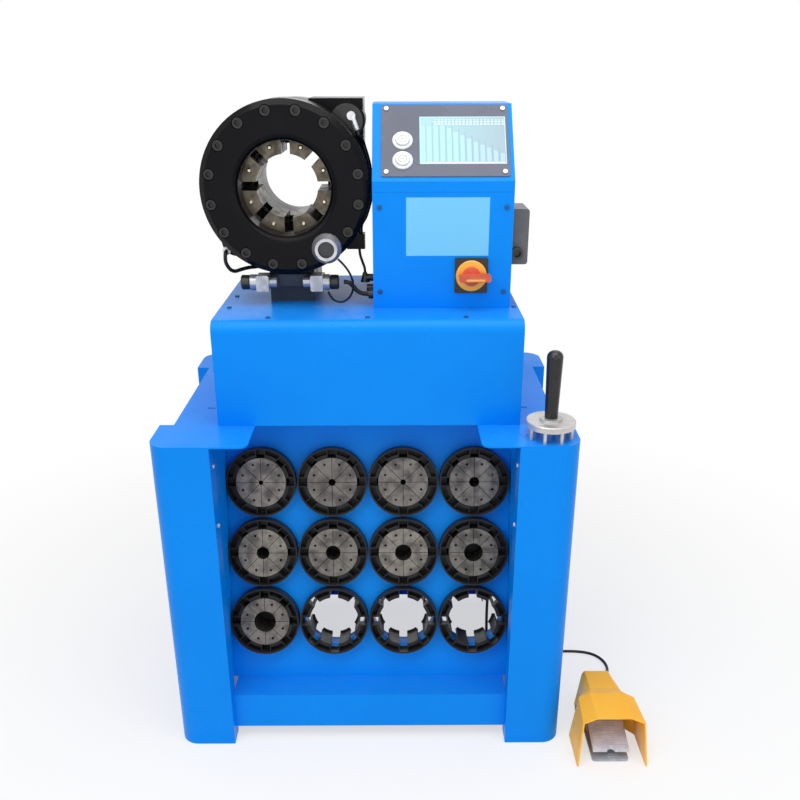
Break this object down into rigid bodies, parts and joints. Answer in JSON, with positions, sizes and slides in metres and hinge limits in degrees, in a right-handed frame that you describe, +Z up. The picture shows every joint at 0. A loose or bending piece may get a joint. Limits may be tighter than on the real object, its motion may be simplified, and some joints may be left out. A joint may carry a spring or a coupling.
{
  "type": "hose crimping machine",
  "caption": "Bench-mounted hydraulic hose crimper with ring head, power pack, control box, tilted die rack, die change tool and foot pedal.",
  "frame": {"origin": "on the floor under the middle of the bench", "axes": "+X to the operator's right, +Y to the rear, +Z up; the crimping head's axis runs along Y"},
  "size_m": [0.9195, 0.6215, 1.205],
  "materials": {
    "black_plastic": "fine texture",
    "blue_paint": "semi-gloss powder coat",
    "button_white": "gloss",
    "console_grey": "satin",
    "cord_black": "matt sheath",
    "die_steel": "blackened, oiled",
    "grey_plastic": "matt",
    "guard_yellow": "satin paint",
    "head_black": "semi-gloss paint",
    "machined_steel": "machined, lightly oiled",
    "pump_grey": "painted casting",
    "reservoir": "plain sheet",
    "screen": "gloss",
    "seal": "moulded",
    "switch_red": "satin",
    "switch_yellow": "satin",
    "treadle_grey": "cast",
    "zinc": "zinc plated"
  },
  "bodies": {
    "machine": {"front_posts": "blue_paint", "rear_frame": "blue_paint", "bench_top": "blue_paint", "side_panels": "blue_paint", "rack_cheeks": "blue_paint", "rack_panel": "blue_paint", "panel_screws": "zinc", "pack_housing": "blue_paint", "pack_rear_cover": "blue_paint", "oil_reservoir": "reservoir", "pump_motor": "pump_grey", "pump_and_valves": "machined_steel", "head_pedestal": "head_black", "cylinder_body": "head_black", "front_ring": "head_black", "head_bolts": "die_steel", "rear_cover": "head_black", "port_fittings": "zinc", "oil_tubes": "zinc", "work_lamp": "zinc", "sensor_blocks": "machined_steel", "head_cables": "cord_black", "control_box": "blue_paint", "control_cover": "blue_paint", "console_plate": "console_grey", "touch_screen": "screen", "switch_mount": "switch_yellow", "junction_box": "grey_plastic", "cable_glands": "black_plastic", "die_holders": "black_plastic", "empty_die_holders": "black_plastic", "pedal_base": "pump_grey", "pedal_guard": "guard_yellow", "pedal_cord": "cord_black", "pedal_cord_coil": "cord_black"},
    "ram": {"piston": "machined_steel", "piston_seals": "seal"},
    "master_die_1": {"master_die_1": "die_steel"},
    "master_die_2": {"master_die_2": "die_steel"},
    "master_die_3": {"master_die_3": "die_steel"},
    "master_die_4": {"master_die_4": "die_steel"},
    "master_die_5": {"master_die_5": "die_steel"},
    "master_die_6": {"master_die_6": "die_steel"},
    "master_die_7": {"master_die_7": "die_steel"},
    "master_die_8": {"master_die_8": "die_steel"},
    "open_button": {"open_button": "button_white"},
    "close_button": {"close_button": "button_white"},
    "switch": {"switch_handle": "switch_red"},
    "change_tool": {"tool_disc": "die_steel", "tool_grip": "black_plastic"},
    "die_set_1": {"die_set_1": "die_steel"},
    "die_set_2": {"die_set_2": "die_steel"},
    "die_set_3": {"die_set_3": "die_steel"},
    "die_set_4": {"die_set_4": "die_steel"},
    "die_set_5": {"die_set_5": "die_steel"},
    "die_set_6": {"die_set_6": "die_steel"},
    "die_set_7": {"die_set_7": "die_steel"},
    "die_set_8": {"die_set_8": "die_steel"},
    "die_set_9": {"die_set_9": "die_steel"},
    "treadle": {"pedal_treadle": "treadle_grey"}
  },
  "joints": [
    {"name": "ram_slide", "type": "slide", "parent": "machine", "child": "ram", "axis": [0, -1, 0], "range_m": [0, 0.036]},
    {"name": "master_die_slide_1", "type": "slide", "parent": "machine", "child": "master_die_1", "axis": [-0.6533, -0.7071, -0.2706], "range_m": [0, 0.0256]},
    {"name": "master_die_slide_2", "type": "slide", "parent": "machine", "child": "master_die_2", "axis": [-0.2706, -0.7071, -0.6533], "range_m": [0, 0.0256]},
    {"name": "master_die_slide_3", "type": "slide", "parent": "machine", "child": "master_die_3", "axis": [0.2706, -0.7071, -0.6533], "range_m": [0, 0.0256]},
    {"name": "master_die_slide_4", "type": "slide", "parent": "machine", "child": "master_die_4", "axis": [0.6533, -0.7071, -0.2706], "range_m": [0, 0.0256]},
    {"name": "master_die_slide_5", "type": "slide", "parent": "machine", "child": "master_die_5", "axis": [0.6533, -0.7071, 0.2706], "range_m": [0, 0.0256]},
    {"name": "master_die_slide_6", "type": "slide", "parent": "machine", "child": "master_die_6", "axis": [0.2706, -0.7071, 0.6533], "range_m": [0, 0.0256]},
    {"name": "master_die_slide_7", "type": "slide", "parent": "machine", "child": "master_die_7", "axis": [-0.2706, -0.7071, 0.6533], "range_m": [0, 0.0256]},
    {"name": "master_die_slide_8", "type": "slide", "parent": "machine", "child": "master_die_8", "axis": [-0.6533, -0.7071, 0.2706], "range_m": [0, 0.0256]},
    {"name": "open_button_press", "type": "slide", "parent": "machine", "child": "open_button", "axis": [0, 0.7628, -0.6467], "range_m": [0, 0.003], "stiffness_N_per_m": 900, "springref_m": -0.001},
    {"name": "close_button_press", "type": "slide", "parent": "machine", "child": "close_button", "axis": [0, 0.7628, -0.6467], "range_m": [0, 0.003], "stiffness_N_per_m": 900, "springref_m": -0.001},
    {"name": "main_switch_turn", "type": "hinge", "parent": "machine", "child": "switch", "pos_m": [0.1925, -0.0845, 0.902], "axis": [0, 1, 0], "range_deg": [0, 90]},
    {"name": "change_tool_lift", "type": "slide", "parent": "machine", "child": "change_tool", "axis": [0, 0, 1], "range_m": [0, 0.12]},
    {"name": "die_set_pull_1", "type": "slide", "parent": "machine", "child": "die_set_1", "axis": [0, -0.9738, 0.2273], "range_m": [0, 0.07]},
    {"name": "die_set_pull_2", "type": "slide", "parent": "machine", "child": "die_set_2", "axis": [0, -0.9738, 0.2273], "range_m": [0, 0.07]},
    {"name": "die_set_pull_3", "type": "slide", "parent": "machine", "child": "die_set_3", "axis": [0, -0.9738, 0.2273], "range_m": [0, 0.07]},
    {"name": "die_set_pull_4", "type": "slide", "parent": "machine", "child": "die_set_4", "axis": [0, -0.9738, 0.2273], "range_m": [0, 0.07]},
    {"name": "die_set_pull_5", "type": "slide", "parent": "machine", "child": "die_set_5", "axis": [0, -0.9738, 0.2273], "range_m": [0, 0.07]},
    {"name": "die_set_pull_6", "type": "slide", "parent": "machine", "child": "die_set_6", "axis": [0, -0.9738, 0.2273], "range_m": [0, 0.07]},
    {"name": "die_set_pull_7", "type": "slide", "parent": "machine", "child": "die_set_7", "axis": [0, -0.9738, 0.2273], "range_m": [0, 0.07]},
    {"name": "die_set_pull_8", "type": "slide", "parent": "machine", "child": "die_set_8", "axis": [0, -0.9738, 0.2273], "range_m": [0, 0.07]},
    {"name": "die_set_pull_9", "type": "slide", "parent": "machine", "child": "die_set_9", "axis": [0, -0.9738, 0.2273], "range_m": [0, 0.07]},
    {"name": "treadle_press", "type": "hinge", "parent": "machine", "child": "treadle", "pos_m": [0.4715, -0.239, 0.034], "axis": [1, 0, 0], "range_deg": [0, 9], "stiffness_Nm_per_rad": 6, "springref_deg": -8.59}
  ],
  "couplings": [
    {"joint": "master_die_slide_1", "follows": "ram_slide", "ratio": 0.70711},
    {"joint": "master_die_slide_2", "follows": "ram_slide", "ratio": 0.70711},
    {"joint": "master_die_slide_3", "follows": "ram_slide", "ratio": 0.70711},
    {"joint": "master_die_slide_4", "follows": "ram_slide", "ratio": 0.70711},
    {"joint": "master_die_slide_5", "follows": "ram_slide", "ratio": 0.70711},
    {"joint": "master_die_slide_6", "follows": "ram_slide", "ratio": 0.70711},
    {"joint": "master_die_slide_7", "follows": "ram_slide", "ratio": 0.70711},
    {"joint": "master_die_slide_8", "follows": "ram_slide", "ratio": 0.70711}
  ]
}
